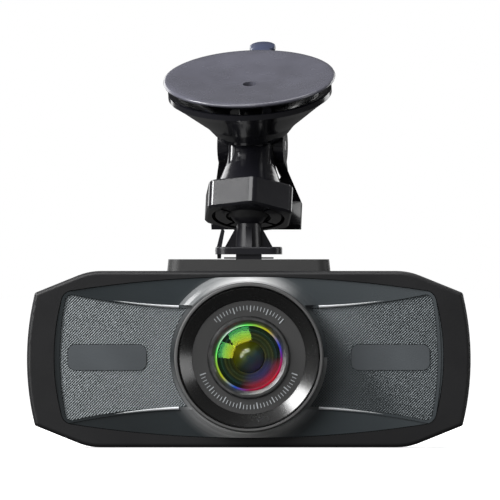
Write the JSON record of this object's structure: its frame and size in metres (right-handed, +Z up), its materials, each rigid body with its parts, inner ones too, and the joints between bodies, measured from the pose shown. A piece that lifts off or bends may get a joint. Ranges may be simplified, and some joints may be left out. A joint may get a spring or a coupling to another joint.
{
  "type": "dash camera",
  "caption": "Wide dash camera with a large front lens, rear screen and keys, hung from a lever-locked suction mount by a clamped ball joint.",
  "frame": {"origin": "middle of the case's flat underside", "axes": "+X along the case's long side, right as seen from the front; -Y the way the lens looks; +Y towards the screen; +Z up"},
  "size_m": [0.11, 0.0502, 0.1011],
  "materials": {
    "shell": "fine matte",
    "panel": "satin slate",
    "wing_weave": "fine diagonal weave",
    "badge": "satin, blank",
    "bezel": "satin",
    "lens_dish": "glossy",
    "lens_scale": "satin with plain index marks",
    "lock_ring": "satin anodised",
    "black_metal": "matt black",
    "lens_glass": "coated",
    "coated_glass": "green coating",
    "chip_black": "moulded",
    "board_green": "solder mask",
    "connector_plastic": "plain",
    "screw_steel": "blackened",
    "bright_metal": "plated",
    "battery_wrap": "foil",
    "sound_parts": "painted",
    "screen_panel": "dark display",
    "screen_glass": "glossy",
    "light_guide": "frosted",
    "key_plastic": "satin",
    "plinth": "matte",
    "foot_plastic": "satin black",
    "liner": "slick",
    "mount_black": "glossy black",
    "pad_rubber": "tinted soft pad"
  },
  "bodies": {
    "camera": {"badge_left": "badge", "badge_right": "badge", "battery": "battery_wrap", "board_connector": "connector_plastic", "board_screws": "screw_steel", "card_socket": "bright_metal", "case_screws": "screw_steel", "clock_cell": "bright_metal", "fascia_panel": "panel", "front_lens": "lens_glass", "front_shell": "shell", "hdmi_port": "bright_metal", "image_sensor": "chip_black", "inner_lens": "coated_glass", "ir_filter": "lens_glass", "key_boards": "board_green", "key_switches": "connector_plastic", "lens_barrel": "black_metal", "lens_bezel": "bezel", "lens_dish": "lens_dish", "lens_holder": "black_metal", "lens_lock_ring": "lock_ring", "lens_scale_ring": "lens_scale", "main_board": "board_green", "memory_chips": "chip_black", "microphone": "sound_parts", "mount_plinth": "plinth", "plinth_screws": "screw_steel", "power_coils": "chip_black", "processor": "chip_black", "rear_lens": "lens_glass", "rear_shell": "shell", "screen_bracket": "bright_metal", "screen_module": "screen_panel", "screen_pane": "screen_glass", "screen_ribbon": "connector_plastic", "sensor_board": "board_green", "speaker": "sound_parts", "status_lights": "light_guide", "usb_port": "bright_metal", "wing_inlay_left": "wing_weave", "wing_inlay_right": "wing_weave"},
    "stud": {"ball_stud": "foot_plastic", "latch_pin": "bright_metal"},
    "latch": {"release_latch": "foot_plastic"},
    "ball_ring": {"ball_liner_inner": "liner"},
    "ball_cap": {"ball_liner_outer": "liner"},
    "neck": {"neck_housing": "mount_black", "suction_pad": "pad_rubber", "lever_pin": "bright_metal"},
    "nut": {"lock_nut": "mount_black"},
    "clamp_lever": {"lever": "mount_black"},
    "pull_stem": {"suction_stem": "mount_black"},
    "key_menu": {"key_menu": "key_plastic"},
    "key_up": {"key_up": "key_plastic"},
    "key_down": {"key_down": "key_plastic"},
    "key_power": {"key_power": "key_plastic"},
    "key_ok": {"key_ok": "key_plastic"},
    "key_mode": {"key_mode": "key_plastic"}
  },
  "joints": [
    {"name": "foot_slide", "type": "slide", "parent": "camera", "child": "stud", "axis": [0, 1, 0], "range_m": [0, 0.0165]},
    {"name": "latch_press", "type": "hinge", "parent": "stud", "child": "latch", "pos_m": [-0.00735, 0.002, 0.04875], "axis": [0, 1, 0], "range_deg": [0, 7], "stiffness_Nm_per_rad": 0.02, "springref_deg": -2.86},
    {"name": "ball_pan", "type": "hinge", "parent": "stud", "child": "ball_ring", "pos_m": [0, 0.002, 0.0597], "axis": [0, 0, 1], "range_deg": [-40, 40]},
    {"name": "ball_tilt", "type": "hinge", "parent": "ball_ring", "child": "ball_cap", "pos_m": [0, 0.002, 0.0597], "axis": [0.9903, -0.1392, 0], "range_deg": [-9, 47]},
    {"name": "ball_spin", "type": "hinge", "parent": "ball_cap", "child": "neck", "pos_m": [0, 0.002, 0.0597], "axis": [0.0453, 0.3224, 0.9455], "continuous": true},
    {"name": "nut_turn", "type": "hinge", "parent": "neck", "child": "nut", "pos_m": [0, 0.002, 0.0597], "axis": [0.0453, 0.3224, 0.9455], "range_deg": [-360, 0]},
    {"name": "lever_turn", "type": "hinge", "parent": "neck", "child": "clamp_lever", "pos_m": [0.00093, 0.00865, 0.07483], "axis": [0.9903, -0.1392, 0], "range_deg": [0, 60]},
    {"name": "stem_pull", "type": "slide", "parent": "neck", "child": "pull_stem", "axis": [-0.046, -0.3273, 0.9438], "range_m": [0, 0.002], "deforming": ["suction_pad"]},
    {"name": "key_menu_press", "type": "slide", "parent": "camera", "child": "key_menu", "axis": [0, -1, 0], "range_m": [0, 0.00035], "stiffness_N_per_m": 800, "springref_m": -0.0005},
    {"name": "key_up_press", "type": "slide", "parent": "camera", "child": "key_up", "axis": [0, -1, 0], "range_m": [0, 0.00035], "stiffness_N_per_m": 800, "springref_m": -0.0005},
    {"name": "key_down_press", "type": "slide", "parent": "camera", "child": "key_down", "axis": [0, -1, 0], "range_m": [0, 0.00035], "stiffness_N_per_m": 800, "springref_m": -0.0005},
    {"name": "key_power_press", "type": "slide", "parent": "camera", "child": "key_power", "axis": [0, -1, 0], "range_m": [0, 0.00035], "stiffness_N_per_m": 800, "springref_m": -0.0005},
    {"name": "key_ok_press", "type": "slide", "parent": "camera", "child": "key_ok", "axis": [0, -1, 0], "range_m": [0, 0.00035], "stiffness_N_per_m": 800, "springref_m": -0.0005},
    {"name": "key_mode_press", "type": "slide", "parent": "camera", "child": "key_mode", "axis": [0, -1, 0], "range_m": [0, 0.00035], "stiffness_N_per_m": 800, "springref_m": -0.0005}
  ],
  "couplings": [
    {"joint": "stem_pull", "follows": "lever_turn", "m_per_rad": 0.0019098}
  ]
}
